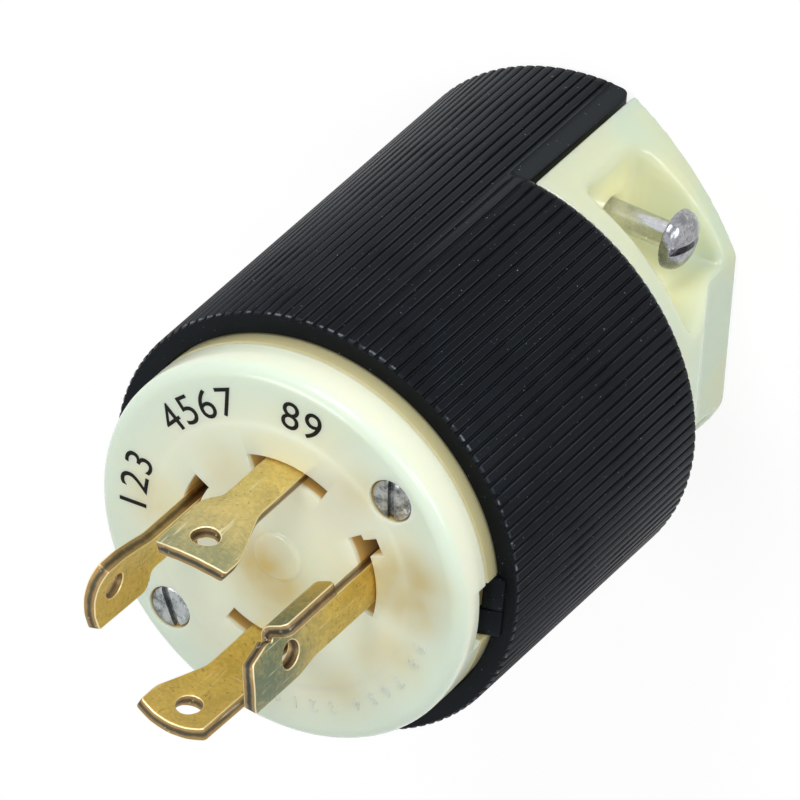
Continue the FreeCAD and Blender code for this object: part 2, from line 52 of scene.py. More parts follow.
# Sizes round the axis
CREST_R = 25.4
RIB_DEPTH = 0.38
VALLEY_R = CREST_R - RIB_DEPTH
BORE_R = 22.9
SCREW_CIRCLE_R = 18.4
BLADE_R = 12.1
SHEET = 1.5
KEY_TURN = -46.0
CLAMP_TURN = 45.0
CLAMP_SCREW_SIDE = 15.9


# Making and finishing meshes

def placed(name, data):
    piece = bpy.data.objects.new(name, data)
    bpy.context.collection.objects.link(piece)
    return piece


def named_mesh(name, verts, faces):
    mesh = bpy.data.meshes.new(name)
    mesh.from_pydata(verts, [], faces)
    return placed(name, mesh)


def from_bmesh(name, form):
    mesh = bpy.data.meshes.new(name)
    form.to_mesh(mesh)
    form.free()
    return placed(name, mesh)


@contextmanager
def reshaped(piece):
    """Opens a piece's mesh for changes and writes them back."""
    form = bmesh.new()
    form.from_mesh(piece.data)
    yield form
    form.to_mesh(piece.data)
    form.free()


def tidy_faces(piece, merge=0.0005):
    """Closes seams and turns all faces outwards."""
    with reshaped(piece) as form:
        bmesh.ops.remove_doubles(form, verts=form.verts, dist=merge)
        bmesh.ops.dissolve_degenerate(form, edges=form.edges, dist=merge / 2)
        bmesh.ops.recalc_face_normals(form, faces=form.faces)


def add_meshes(piece, others):
    """Adds the other pieces' meshes to this one and removes the others."""
    with reshaped(piece) as form:
        for other in others:
            form.from_mesh(other.data)
            bpy.data.objects.remove(other)


def evaluated_mesh(piece):
    graph = bpy.context.evaluated_depsgraph_get()
    graph.update()
    return bpy.data.meshes.new_from_object(piece.evaluated_get(graph), depsgraph=graph)


def mesh_instead(holder):
    """The mesh of a curve or a text, whose own object is removed."""
    mesh = evaluated_mesh(holder)
    bpy.data.objects.remove(holder)
    return mesh


def bake(piece):
    """Replaces a piece's mesh by what its modifiers make of it, and drops them."""
    mesh = evaluated_mesh(piece)
    mesh.name = piece.name
    piece.modifiers.clear()
    piece.data = mesh


def cut_away(piece, tools):
    """Cuts each tool from the piece in turn and throws the tools away."""
    for tool in tools:
        step = piece.modifiers.new("cut", 'BOOLEAN')
        step.operation = 'DIFFERENCE'
        step.solver = 'EXACT'
        step.object = tool
        bake(piece)
        bpy.data.objects.remove(tool)


def bevel(piece, width, angle):
    step = piece.modifiers.new("edge", 'BEVEL')
    step.width = width
    step.segments = 2
    step.limit_method = 'ANGLE'
    step.angle_limit = math.radians(angle)
    step.use_clamp_overlap = True
    step.miter_outer = 'MITER_ARC'
    bake(piece)


def mark(piece, name, value_at):
    """Writes a value per vertex for the material to read."""
    values = piece.data.attributes.new(name, 'FLOAT', 'POINT')
    for vert in piece.data.vertices:
        values.data[vert.index].value = value_at(vert)


def to_metres(piece):
    piece.data.transform(Matrix.Scale(METRE, 4))
    piece.data.update()


def put_on(piece, material):
    piece.data.materials.clear()
    piece.data.materials.append(material)


def finish_piece(piece, nodes, material, crease=None):
    """Shades a piece, scales it and puts it on the body in place of its CAD nodes."""
    piece.data.shade_smooth()
    if crease:
        piece.data.set_sharp_from_angle(angle=math.radians(crease))
    to_metres(piece)
    put_on(piece, material)
    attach(piece, "root")
    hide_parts(*nodes)


# Plain forms

def polar(radius, degrees):
    turn = math.radians(degrees)
    return radius * math.cos(turn), radius * math.sin(turn)


def lathe(name, outline, steps, about=Vector((0, 0, 1)), at=Vector((0, 0, 0))):
    """Turns (radius, height) points about an axis; points on the axis become closed poles."""
    side = about.orthogonal().normalized()
    cross = about.cross(side)
    verts = []
    rings = []
    for radius, height in outline:
        centre = at + about * height
        if radius < 1e-6:
            rings.append([len(verts)] * steps)
            verts.append(centre)
            continue
        rings.append(range(len(verts), len(verts) + steps))
        for step in range(steps):
            turn = 2 * math.pi * step / steps
            verts.append(centre + (side * math.cos(turn) + cross * math.sin(turn)) * radius)
    faces = []
    for low, high in zip(rings, rings[1:]):
        for step in range(steps):
            after = (step + 1) % steps
            corners = [low[step], low[after], high[after], high[step]]
            corners = [c for k, c in enumerate(corners) if c != corners[k - 1]]
            if len(corners) > 2:
                faces.append(corners)
    piece = named_mesh(name, [tuple(v) for v in verts], faces)
    tidy_faces(piece)
    return piece


def block(name, low, high):
    form = bmesh.new()
    bmesh.ops.create_cube(form, size=1.0)
    for vert in form.verts:
        vert.co = Vector([low[k] + (vert.co[k] + 0.5) * (high[k] - low[k]) for k in range(3)])
    return from_bmesh(name, form)


def prism(name, path, low, high):
    """A straight prism on a closed path."""
    form = bmesh.new()
    ends = [[form.verts.new((x, y, z)) for x, y in path] for z in (low, high)]
    for end in ends:
        form.faces.new(end)
    for k in range(len(path)):
        after = (k + 1) % len(path)
        form.faces.new((ends[0][k], ends[0][after], ends[1][after], ends[1][k]))
    bmesh.ops.recalc_face_normals(form, faces=form.faces)
    return from_bmesh(name, form)


def turn_z(piece, degrees):
    piece.data.transform(Matrix.Rotation(math.radians(degrees), 4, 'Z'))
    return piece


def rounded_path(points, steps):
    """Rounds the corners of a closed outline of (x, y, radius) points."""
    path = []
    count = len(points)
    for k, (x, y, radius) in enumerate(points):
        here = Vector((x, y))
        if radius <= 0:
            path.append(here)
            continue
        back = (Vector(points[k - 1][:2]) - here).normalized()
        ahead = (Vector(points[(k + 1) % count][:2]) - here).normalized()
        half = back.angle(ahead) / 2
        reach = radius / math.tan(half)
        middle = here + (back + ahead).normalized() * (radius / math.sin(half))
        start = here + back * reach - middle
        end = here + ahead * reach - middle
        sweep = start.angle_signed(end)
        for step in range(steps + 1):
            path.append(middle + Matrix.Rotation(-sweep * step / steps, 2) @ start)
    return path


def round_hole(x, y, radius, steps=40):
    turns = [2 * math.pi * k / steps for k in range(steps)]
    return [Vector((x + radius * math.cos(turn), y + radius * math.sin(turn))) for turn in turns]


def flat_plate(name, outline, hole, thickness, ease):
    """A flat sheet with eased edges, in the XY plane, centred on z = 0."""
    curve = bpy.data.curves.new(name, 'CURVE')
    curve.dimensions = '2D'
    curve.fill_mode = 'BOTH'
    curve.extrude = thickness / 2 - ease
    curve.bevel_depth = ease
    curve.bevel_resolution = 2
    curve.offset = -ease
    for path in (outline, hole):
        spline = curve.splines.new('POLY')
        spline.points.add(len(path) - 1)
        for point, place in zip(spline.points, path):
            point.co = (place.x, place.y, 0, 1)
        spline.use_cyclic_u = True
    piece = placed(name, mesh_instead(placed(name, curve)))
    tidy_faces(piece, 0.002)
    return piece


def sliced(piece, places):
    """Adds a cut across the sheet at each x, so that it can be bent."""
    with reshaped(piece) as form:
        for x in places:
            geometry = form.verts[:] + form.edges[:] + form.faces[:]
            bmesh.ops.bisect_plane(form, geom=geometry, dist=1e-5, plane_co=(x, 0, 0),
                                   plane_no=(1, 0, 0))


# Node trees

FLOAT = 'NodeSocketFloat'


def new_tree(name, kind, inputs, outputs):
    """A node group with named sockets, each given as a label and a kind."""
    tree = bpy.data.node_groups.new(name, kind)
    for way, sockets in (('INPUT', inputs), ('OUTPUT', outputs)):
        for label, socket_kind in sockets:
            tree.interface.new_socket(name=label, in_out=way, socket_type=socket_kind)
    return tree


class Wiring:
    """Adds nodes to one tree, each input fed by a value or by another node's output."""

    def __init__(self, tree):
        self.tree = tree

    def node(self, kind, inputs=None, **settings):
        made = self.tree.nodes.new(kind)
        for key, value in settings.items():
            setattr(made, key, value)
        for key, value in (inputs or {}).items():
            if isinstance(value, bpy.types.NodeSocket):
                self.tree.links.new(value, made.inputs[key])
            else:
                made.inputs[key].default_value = value
        return made

    def math(self, operation, *values, clamp=False):
        made = self.node('ShaderNodeMath', dict(enumerate(values)), operation=operation, use_clamp=clamp)
        return made.outputs[0]

    def times(self, first, *others):
        for other in others:
            first = self.math('MULTIPLY', first, other)
        return first

    def scaled(self, value, factor, base):
        return self.math('ADD', self.times(value, factor), base)

    def ramp(self, source, low, high):
        """A smooth step from 0 at low to 1 at high."""
        return self.node('ShaderNodeMapRange', {"Value": source, "From Min": low, "From Max": high},
                         interpolation_type='SMOOTHSTEP').outputs["Result"]

    def mix(self, mask, first, second):
        colours = [c + (1.0,) if isinstance(c, tuple) else c for c in (first, second)]
        return self.node('ShaderNodeMix', {0: mask, 6: colours[0], 7: colours[1]},
                         data_type='RGBA').outputs[2]

    def noise(self, vector, scale, detail=3.0, roughness=0.55):
        return self.node('ShaderNodeTexNoise', {"Vector": vector, "Scale": scale, "Detail": detail,
                                                "Roughness": roughness}).outputs["Fac"]

    def vector(self, operation, *values):
        return self.node('ShaderNodeVectorMath', dict(enumerate(values)), operation=operation).outputs

    def parts(self, vector):
        return self.node('ShaderNodeSeparateXYZ', {0: vector}).outputs

    def joined(self, **parts):
        return self.node('ShaderNodeCombineXYZ', parts).outputs[0]


# Shader groups that several finishes share

def shader_group(name, sizes, outputs):
    """A group that takes a vector and some sizes and puts out single values."""
    inputs = [("Vector", 'NodeSocketVector')] + [(size, FLOAT) for size in sizes]
    group = new_tree(name, 'ShaderNodeTree', inputs, [(output, FLOAT) for output in outputs])
    wiring = Wiring(group)
    return group, wiring, wiring.node('NodeGroupInput').outputs


def mottle_group():
    """Blotches at two sizes, out as a value round 0.5."""
    group, wiring, entry = shader_group("mottle", ["Coarse", "Fine", "Fine Share"], ["Value"])
    coarse = wiring.noise(entry["Vector"], entry["Coarse"], 3.0, 0.5)
    fine = wiring.noise(entry["Vector"], entry["Fine"], 4.0, 0.7)
    blend = wiring.node('ShaderNodeMix', {0: entry["Fine Share"], 2: coarse, 3: fine}, data_type='FLOAT')
    wiring.node('NodeGroupOutput', {"Value": blend.outputs[0]})
    return group


def scratch_group():
    """Fine straight scratches along Z, out as a mask and as the grain under it."""
    group, wiring, entry = shader_group("scratches", ["Across", "Along", "Amount"], ["Mask", "Grain"])
    size = wiring.joined(X=entry["Across"], Y=entry["Across"], Z=entry["Along"])
    grain = wiring.noise(wiring.vector('MULTIPLY', entry["Vector"], size)[0], 1.0, 2.0, 0.6)
    sharp = wiring.ramp(grain, 0.60, 0.72)
    where = wiring.ramp(wiring.noise(entry["Vector"], 220.0, 2.0), 0.42, 0.62)
    mask = wiring.math('MULTIPLY', wiring.times(sharp, where), entry["Amount"], clamp=True)
    wiring.node('NodeGroupOutput', {"Mask": mask, "Grain": grain})
    return group


def speck_group():
    """Dust and pits: the peaks of a fine noise, from Low to High, out as a mask."""
    group, wiring, entry = shader_group("specks", ["Scale", "Detail", "Roughness", "Low", "High"], ["Mask"])
    grain = wiring.noise(entry["Vector"], entry["Scale"], entry["Detail"], entry["Roughness"])
    wiring.node('NodeGroupOutput', {"Mask": wiring.ramp(grain, entry["Low"], entry["High"])})
    return group


# Each patch's x and y on the face, its reach and its strength
WARM_PATCHES = ((-3.0, -1.2, 7.0, 1.0), (13.5, -9.5, 7.5, 0.85), (1.0, 12.0, 4.5, 0.35),
                (-11.0, 11.5, 5.5, 0.35), (15.5, 2.5, 5.0, 0.30), (5.0, -15.0, 6.5, 0.45),
                (-3.5, -16.0, 6.0, 0.30))


def warm_group():
    """Honey-coloured patches on the face, where thick nylon lies under it."""
    group, wiring, entry = shader_group("warm_patches", [], ["Mask"])
    total = 0.0
    for x, y, reach, strength in WARM_PATCHES:
        centre = (x * METRE, y * METRE, 0.0642)
        away = wiring.vector('DISTANCE', entry["Vector"], centre)["Value"]
        total = wiring.math('MAXIMUM', total, wiring.times(wiring.ramp(away, reach * METRE, 0.0), strength))
    cloud = wiring.ramp(wiring.noise(entry["Vector"], 170.0, 2.0), 0.30, 0.68)
    mask = wiring.math('MULTIPLY', total, wiring.scaled(cloud, 0.55, 0.45), clamp=True)
    wiring.node('NodeGroupOutput', {"Mask": mask})
    return group


MOTTLE = mottle_group()
SCRATCHES = scratch_group()
SPECKS = speck_group()
WARM = warm_group()


# Finishes

class Finish(Wiring):
    """A material with its shader's constants set on the shader's own sockets."""

    def __init__(self, name, **fixed):
        self.material = bpy.data.materials.new(name)
        self.material.use_nodes = True
        super().__init__(self.material.node_tree)
        self.tree.nodes.clear()
        constants = {key.replace("_", " "): value for key, value in fixed.items()}
        self.shader = self.node('ShaderNodeBsdfPrincipled', constants)
        self.node('ShaderNodeOutputMaterial', {"Surface": self.shader.outputs[0]}, is_active_output=True)
        self.place = self.node('ShaderNodeTexCoord').outputs["Object"]

    def feed(self, label, source):
        self.tree.links.new(source, self.shader.inputs[label])

    def group(self, tree, **values):
        inputs = {key.replace("_", " "): value for key, value in values.items()}
        return self.node('ShaderNodeGroup', {"Vector": self.place, **inputs}, node_tree=tree).outputs

    def mottle(self, coarse, fine, fine_share):
        return self.group(MOTTLE, Coarse=coarse, Fine=fine, Fine_Share=fine_share)["Value"]

    def specks(self, scale, low, high, detail=1.0, roughness=0.55):
        return self.group(SPECKS, Scale=scale, Detail=detail, Roughness=roughness, Low=low, High=high)["Mask"]

    def attribute(self, name):
        return self.node('ShaderNodeAttribute', attribute_name=name).outputs["Fac"]

    def bump(self, height, strength, distance):
        self.feed("Normal", self.node('ShaderNodeBump', {"Height": height, "Strength": strength,
                                                         "Distance": distance}).outputs["Normal"])

    def finished(self, colour, rough):
        self.feed("Base Color", colour)
        self.feed("Roughness", rough)
        return self.material


def black_nylon():
    """Moulded black nylon with rib corners painted lighter, partly rubbed wear and partly painted highlight,
    painted glints at its rib ends, and dust.
    """
    nylon = Finish("black_nylon", IOR=1.5, Specular_IOR_Level=0.12, Specular_Tint=(0.78, 0.90, 1.0, 1.0))
    parts = nylon.parts(nylon.place)
    height = parts["Z"]
    crest = nylon.attribute("crest")
    blotch = nylon.mottle(240.0, 2400.0, 0.5)
    colour = nylon.mix(nylon.ramp(blotch, 0.3, 0.7), (0.0022, 0.0027, 0.0036), (0.0042, 0.0050, 0.0068))
    # Rib corners painted lighter: partly rubbed wear, partly a painted highlight along each rib's edges.
    corner = nylon.times(nylon.ramp(crest, 0.45, 0.80), nylon.ramp(crest, 1.0, 0.86))
    rubbed = nylon.ramp(nylon.noise(nylon.place, 130.0), 0.30, 0.60)
    colour = nylon.mix(nylon.times(corner, rubbed, 0.75), colour, (0.040, 0.045, 0.053))
    # Painted glints: pale specks on the rib ends at the rear edge and at the front rim stand in for highlights.
    beyond_tongue = nylon.ramp(nylon.math('SUBTRACT', parts["X"], parts["Y"]), 0.0034, 0.0038)
    rear = nylon.times(nylon.ramp(height, 0.02110, 0.02095), beyond_tongue, 0.75)
    patchy = nylon.ramp(nylon.noise(nylon.place, 480.0, 3.0, 0.65), 0.50, 0.60)
    front = nylon.times(nylon.ramp(height, 0.05655, 0.05675), patchy)
    ends = nylon.times(nylon.math('MAXIMUM', rear, front), nylon.ramp(crest, 0.50, 0.80), 0.6)
    colour = nylon.mix(ends, colour, (0.30, 0.32, 0.34))
    band = nylon.times(nylon.ramp(nylon.attribute("rib"), 0.5, 0.2), nylon.ramp(height, 0.0206, 0.0204))
    colour = nylon.mix(band, colour, (0.0135, 0.0155, 0.0175))
    dust = nylon.times(nylon.specks(3600.0, 0.755, 0.79), 0.6)
    colour = nylon.mix(dust, colour, (0.30, 0.31, 0.33))
    nylon.bump(blotch, 0.12, 0.00008)
    return nylon.finished(colour, nylon.scaled(blotch, 0.22, 0.30))


def cream_nylon(name, spread, glow, rear_tones, shade_tone_in_hollows, cavity_glow=0.0):
    """Translucent nylon: ivory in front, other tones behind, with painted shade where it is sunk and a painted
    glow.
    """
    # The emission is a painted glow that stands in for light coming through the nylon.
    nylon = Finish(name, IOR=1.5, Subsurface_Weight=0.6, Subsurface_Radius=(1.0, 0.78, 0.42),
                   Subsurface_Scale=spread, Specular_IOR_Level=0.5, Coat_Weight=0.15,
                   Coat_Roughness=0.06, Emission_Strength=glow + cavity_glow)
    parts = nylon.parts(nylon.place)
    height = parts["Z"]
    radius = nylon.vector('LENGTH', nylon.joined(X=parts["X"], Y=parts["Y"]))["Value"]
    cavity = nylon.attribute("cavity")
    blotch = nylon.mottle(70.0, 420.0, 0.3)
    ivory = nylon.mix(nylon.ramp(blotch, 0.35, 0.66), (0.76, 0.765, 0.60), (0.71, 0.765, 0.61))
    rear = nylon.mix(nylon.ramp(nylon.noise(nylon.place, 95.0, 1.0), 0.38, 0.62), *rear_tones)
    colour = nylon.mix(nylon.ramp(height, 0.024, 0.018), ivory, rear)
    cool = nylon.times(nylon.ramp(radius, 0.0160, 0.0225), nylon.ramp(height, 0.0620, 0.0635), 0.65)
    colour = nylon.mix(cool, colour, (0.62, 0.75, 0.65))
    colour = nylon.mix(nylon.group(WARM)["Mask"], colour, (0.60, 0.44, 0.09))
    # Painted shade in the hollows: slots, counterbores and the clamp's ledges are painted amber, and the slots
    # and counterbores darker the deeper they go
    sunk = nylon.times(nylon.ramp(height, 0.06390, 0.06340), nylon.ramp(radius, 0.0213, 0.0211),
                       nylon.ramp(height, 0.045, 0.046))
    deep_shade = nylon.times(sunk, nylon.ramp(height, 0.06335, 0.05950))
    hollow_shade = nylon.math('MULTIPLY', nylon.math('MAXIMUM', cavity, sunk), 0.92, clamp=True)
    colour = nylon.mix(hollow_shade, colour, nylon.mix(deep_shade, shade_tone_in_hollows, (0.20, 0.085, 0.015)))
    # Painted shade: the flange's band next to the black rim is painted a darker tan.
    flange = nylon.times(nylon.ramp(height, 0.0590, 0.0588), nylon.ramp(height, 0.0560, 0.0565), 0.9)
    colour = nylon.mix(flange, colour, (0.455, 0.40, 0.20))
    specks = nylon.times(nylon.specks(3800.0, 0.80, 0.84), 0.18)
    colour = nylon.mix(specks, colour, (0.35, 0.30, 0.20))
    # Painted glow: the hollows glow brighter by cavity_glow, which lifts their painted shade.
    glowing = colour
    if cavity_glow:
        dimmed = nylon.times(nylon.math('SUBTRACT', 1.0, cavity, clamp=True),
                             cavity_glow / (glow + cavity_glow))
        glowing = nylon.mix(dimmed, colour, (0.0, 0.0, 0.0))
    nylon.feed("Emission Color", glowing)
    nylon.bump(nylon.noise(nylon.place, 260.0, 2.0), 0.10, 0.00035)
    return nylon.finished(colour, nylon.scaled(blotch, 0.16, 0.14))


def brass(name, bright, tarnish, tarnish_share):
    """Rolled sheet: tarnished towards the tips, with a painted highlight on its eased edges, partly worn
    bright, and painted shade on its cut sides.
    """
    metal = Finish(name, Metallic=1.0, IOR=1.5)
    blotch = metal.mottle(330.0, 1900.0, 0.55)
    marks = metal.group(SCRATCHES, Across=2100.0, Along=120.0, Amount=0.55)
    reach = metal.attribute("reach")
    colour = metal.mix(metal.ramp(blotch, 0.38, 0.62), bright, tuple(0.78 * c for c in bright))
    patina = metal.scaled(metal.ramp(blotch, 0.3, 0.62), 0.35, 0.70)
    patina = metal.math('MULTIPLY', metal.ramp(reach, 0.25, 0.90), patina, clamp=True)
    colour = metal.mix(metal.math('MULTIPLY', patina, tarnish_share, clamp=True), colour, tarnish)
    pits = metal.times(metal.specks(1500.0, 0.60, 0.68, 3.0, 0.7), 0.50)
    colour = metal.mix(pits, colour, (0.20, 0.13, 0.05))
    # Painted shade on the cut sides: dark brown, slate towards the tips, lighter in torn streaks near the
    # faces.
    depth = metal.math('ABSOLUTE', metal.attribute("depth"))
    streaks = metal.times(metal.noise(metal.place, 900.0, 2.0), 0.5)
    torn = metal.ramp(metal.math('ADD', depth, streaks), 0.35, 0.85)
    cut_side_shade = metal.mix(metal.ramp(reach, 0.55, 0.9), (0.080, 0.052, 0.030), (0.050, 0.050, 0.045))
    cut_side_shade = metal.mix(torn, cut_side_shade, (0.34, 0.22, 0.10))
    colour = metal.mix(metal.times(metal.attribute("cut"), 0.92), colour, cut_side_shade)
    colour = metal.mix(marks["Mask"], colour, (0.95, 0.84, 0.58))
    # Painted highlight on the eased edges, partly bright wear.
    colour = metal.mix(metal.times(metal.attribute("edge"), 0.75), colour, (0.98, 0.83, 0.52))
    metal.bump(metal.math('ADD', metal.times(blotch, 0.7), metal.times(marks["Grain"], 0.5)), 0.30, 0.00009)
    return metal.finished(colour, metal.math('ADD', metal.scaled(blotch, 0.34, 0.20),
                                             metal.times(patina, 0.14)))


def plated_steel(name, light, dark, smooth, unevenness):
    """Zinc-plated steel, with a shank painted lighter as a painted sheen where a screw has one."""
    metal = Finish(name, Metallic=1.0, IOR=1.5)
    blotch = metal.mottle(700.0, 3200.0, 0.45)
    marks = metal.group(SCRATCHES, Across=900.0, Along=5200.0, Amount=0.8)
    colour = metal.mix(metal.ramp(blotch, 0.40, 0.60), light, dark)
    # Painted highlight: the shank is painted lighter, standing in for the bright sheen along it.
    colour = metal.mix(metal.times(metal.attribute("shank"), 0.42), colour, (0.90, 0.91, 0.94))
    colour = metal.mix(marks["Mask"], colour, (0.90, 0.90, 0.88))
    metal.bump(blotch, unevenness, 0.00010)
    return metal.finished(colour, metal.scaled(blotch, unevenness, smooth))


def soft_rubber():
    rubber = Finish("soft_rubber", IOR=1.5, Specular_IOR_Level=0.25)
    blotch = rubber.mottle(300.0, 2600.0, 0.6)
    colour = rubber.mix(rubber.ramp(blotch, 0.3, 0.7), (0.018, 0.018, 0.019), (0.040, 0.040, 0.041))
    rubber.bump(blotch, 0.25, 0.0001)
    return rubber.finished(colour, rubber.scaled(blotch, 0.2, 0.62))


def print_ink():
    ink = Finish("print_ink", IOR=1.45, Specular_IOR_Level=0.15)
    blotch = ink.mottle(900.0, 5200.0, 0.5)
    colour = ink.mix(ink.ramp(blotch, 0.35, 0.75), (0.003, 0.003, 0.003), (0.012, 0.011, 0.010))
    return ink.finished(colour, ink.scaled(blotch, 0.2, 0.35))


BLACK = black_nylon()
# After each name: subsurface spread, painted glow, rear tones, the painted shade colour of the hollows and, for
# the clamp, the hollows' extra painted glow.
CREAM = cream_nylon("cream_nylon", 0.0026, 0.14, ((0.60, 0.65, 0.43), (0.56, 0.64, 0.46)), (0.60, 0.38, 0.09))
CLAMP_NYLON = cream_nylon("clamp_nylon", 0.0060, 0.10, ((0.59, 0.62, 0.43), (0.54, 0.62, 0.48)),
                          (0.69, 0.67, 0.38), 0.24)
BRASS = brass("rolled_brass", (0.86, 0.65, 0.24), (0.25, 0.28, 0.17), 0.85)
BRASS_DULL = brass("dull_brass", (0.80, 0.56, 0.14), (0.165, 0.20, 0.125), 1.0)
BRASS_CLEAN = brass("clean_brass", (0.82, 0.59, 0.165), (0.50, 0.40, 0.16), 0.30)
STEEL = plated_steel("zinc_steel", (0.43, 0.445, 0.44), (0.13, 0.14, 0.14), 0.18, 0.35)
BRIGHT_STEEL = plated_steel("polished_steel", (0.40, 0.40, 0.42), (0.22, 0.22, 0.235), 0.06, 0.20)
RUBBER = soft_rubber()
INK = print_ink()


# Geometry Nodes trees

def piece_tree(name, sizes):
    """A tree that takes a mesh, sizes and a finish."""
    mesh = [("Geometry", 'NodeSocketGeometry')]
    tree = new_tree(name, 'GeometryNodeTree', mesh + sizes + [("Finish", 'NodeSocketMaterial')], mesh)
    wiring = Wiring(tree)
    return tree, wiring, wiring.node('NodeGroupInput').outputs


def end_tree(wiring, geometry, finish):
    real = wiring.node('GeometryNodeRealizeInstances', {0: geometry}).outputs[0]
    finished = wiring.node('GeometryNodeSetMaterial', {"Geometry": real, "Material": finish}).outputs[0]
    wiring.node('NodeGroupOutput', {"Geometry": finished})


def run_tree(piece, tree, **values):
    """Runs a tree on a piece, with the tree's inputs set by their sockets' identifiers."""
    wanted = {key.replace("_", " "): value for key, value in values.items()}
    step = piece.modifiers.new(tree.name, 'NODES')
    step.node_group = tree
    for socket in tree.interface.items_tree:
        if getattr(socket, "in_out", "") == 'INPUT' and socket.name in wanted:
            step[socket.identifier] = wanted[socket.name]
    bake(piece)


def rib_tree():
    """Raises evenly spaced ribs round the Z axis as far as the mesh's rib value allows."""
    tree, wiring, entry = piece_tree("raise_ribs", [("Rib Count", 'NodeSocketInt'), ("Rib Depth", FLOAT),
                                                    ("Crest Share", FLOAT), ("Root Share", FLOAT)])
    parts = wiring.parts(wiring.node('GeometryNodeInputPosition').outputs[0])
    turn = wiring.math('ARCTAN2', parts["Y"], parts["X"])
    phase = wiring.math('DIVIDE', wiring.times(turn, entry["Rib Count"]), 2 * math.pi)
    within_rib = wiring.math('FRACT', wiring.math('ADD', phase, 1000.5))
    away = wiring.math('ABSOLUTE', wiring.math('SUBTRACT', within_rib, 0.5))
    crest = wiring.times(entry["Crest Share"], 0.5)
    root = wiring.math('SUBTRACT', 0.5, wiring.times(entry["Root Share"], 0.5))
    share = wiring.node('GeometryNodeInputNamedAttribute', {"Name": "rib"}, data_type='FLOAT').outputs[0]
    raised = wiring.times(wiring.ramp(away, root, crest), share)
    outward = wiring.vector('NORMALIZE', wiring.joined(X=parts["X"], Y=parts["Y"]))[0]
    lift = wiring.node('ShaderNodeVectorMath', {0: outward, "Scale": wiring.times(raised, entry["Rib Depth"])},
                       operation='SCALE').outputs[0]
    stored = wiring.node('GeometryNodeStoreNamedAttribute',
                         {"Name": "crest", "Geometry": entry["Geometry"], "Value": raised},
                         data_type='FLOAT', domain='POINT').outputs[0]
    moved = wiring.node('GeometryNodeSetPosition', {"Geometry": stored, "Offset": lift}).outputs[0]
    end_tree(wiring, moved, entry["Finish"])
    return tree


def place_tree():
    """Sets copies of a piece out round the Z axis, each turned on its own axis."""
    tree, wiring, entry = piece_tree("set_out_round_axis", [
        ("Count", 'NodeSocketInt'), ("Circle Radius", FLOAT), ("Start Turn", FLOAT), ("First Slot", FLOAT),
        ("Slot Step", FLOAT)])
    points = wiring.node('GeometryNodePoints', {"Count": entry["Count"]}).outputs[0]
    index = wiring.node('GeometryNodeInputIndex').outputs[0]
    pitch = wiring.math('DIVIDE', 2 * math.pi, entry["Count"])
    turn = wiring.math('ADD', wiring.times(index, pitch), entry["Start Turn"])
    place = wiring.joined(X=wiring.times(wiring.math('COSINE', turn), entry["Circle Radius"]),
                          Y=wiring.times(wiring.math('SINE', turn), entry["Circle Radius"]))
    set_out = wiring.node('GeometryNodeSetPosition', {"Geometry": points, "Position": place}).outputs[0]
    slot = wiring.math('ADD', wiring.times(index, entry["Slot Step"]), entry["First Slot"])
    copies = wiring.node('GeometryNodeInstanceOnPoints',
                         {"Points": set_out, "Instance": entry["Geometry"],
                          "Rotation": wiring.joined(Z=slot)}).outputs[0]
    end_tree(wiring, copies, entry["Finish"])
    return tree


# The shell: its smooth form first, then the ribs

RIB_COUNT = 120
RIB_STEPS = (0.0, 0.12, 0.22, 0.28, 0.32, 0.36, 0.40, 0.44, 0.50, 0.56, 0.60, 0.64, 0.68, 0.72, 0.78, 0.88)
CORD_HOLE_R = 12.5
TONGUE_MIDDLE = 135.0
TONGUE_OVERLAP = 2.3
TONGUE_BAND = 2.2
TONGUE_INNER = 22.3
TONGUE_CORNER = 1.2
EDGE_ROUND = 0.35
RIB_END = 0.40


def tongue_edge(radius):
    """Half the tongue's angle at a radius; it reaches past the axis by its overlap."""
    return 90.0 + math.degrees(math.asin(TONGUE_OVERLAP / radius))


def corner_drop(radius, distance):
    """How far a rounded corner has dropped at a distance from its end."""
    if distance >= radius:
        return 0.0
    return radius - math.sqrt(max(radius ** 2 - (radius - distance) ** 2, 0.0))


def shell_profile(angle, in_tongue, edge_gap):
    """Closed (radius, height, rib share, angle) outline of the shell at one angle."""
    outer = VALLEY_R
    inner_angle = angle
    if in_tongue:
        outer -= corner_drop(EDGE_ROUND, edge_gap)
        spread = tongue_edge(TONGUE_INNER) / tongue_edge(VALLEY_R)
        inner_angle = TONGUE_MIDDLE + (angle - TONGUE_MIDDLE) * spread
    points = [(outer, RIM_Z - RIB_END, 1.0, angle), (outer, RIM_Z, 0.25, angle),
              (BORE_R + 0.15, RIM_Z, 0, angle), (BORE_R, RIM_Z - 0.15, 0, angle), (BORE_R, WEB_Z, 0, angle),
              (CORD_HOLE_R, WEB_Z, 0, angle), (CORD_HOLE_R, TONGUE_Z, 0, angle),
              (TONGUE_INNER, TONGUE_Z, 0, inner_angle)]
    if in_tongue:
        low = corner_drop(TONGUE_CORNER, edge_gap)
        rib = min(max((edge_gap - TONGUE_BAND) / 0.3, 0.0), 1.0)
        points += [(TONGUE_INNER, low + 0.2, 0, inner_angle), (TONGUE_INNER + 0.2, low, 0, inner_angle),
                   (outer - 0.15, low, 0, angle), (outer, low, 0.25 * rib, angle)]
        points += [(outer, z, rib, angle) for z in (low + RIB_END, low + 1.2, TONGUE_Z - RIB_END, TONGUE_Z)]
        points.append((outer, TONGUE_Z + RIB_END, 1.0 if rib > 0.5 else rib, angle))
    else:
        points += [(TONGUE_INNER, TONGUE_Z, 0, inner_angle)] * 2
        points.append((outer - 0.15, TONGUE_Z, 0, angle))
        points += [(outer, TONGUE_Z, 0.25, angle)] * 5
        points.append((outer, TONGUE_Z + RIB_END, 1.0, angle))
    points.append((outer, TONGUE_Z + 0.9, 1.0, angle))
    return points


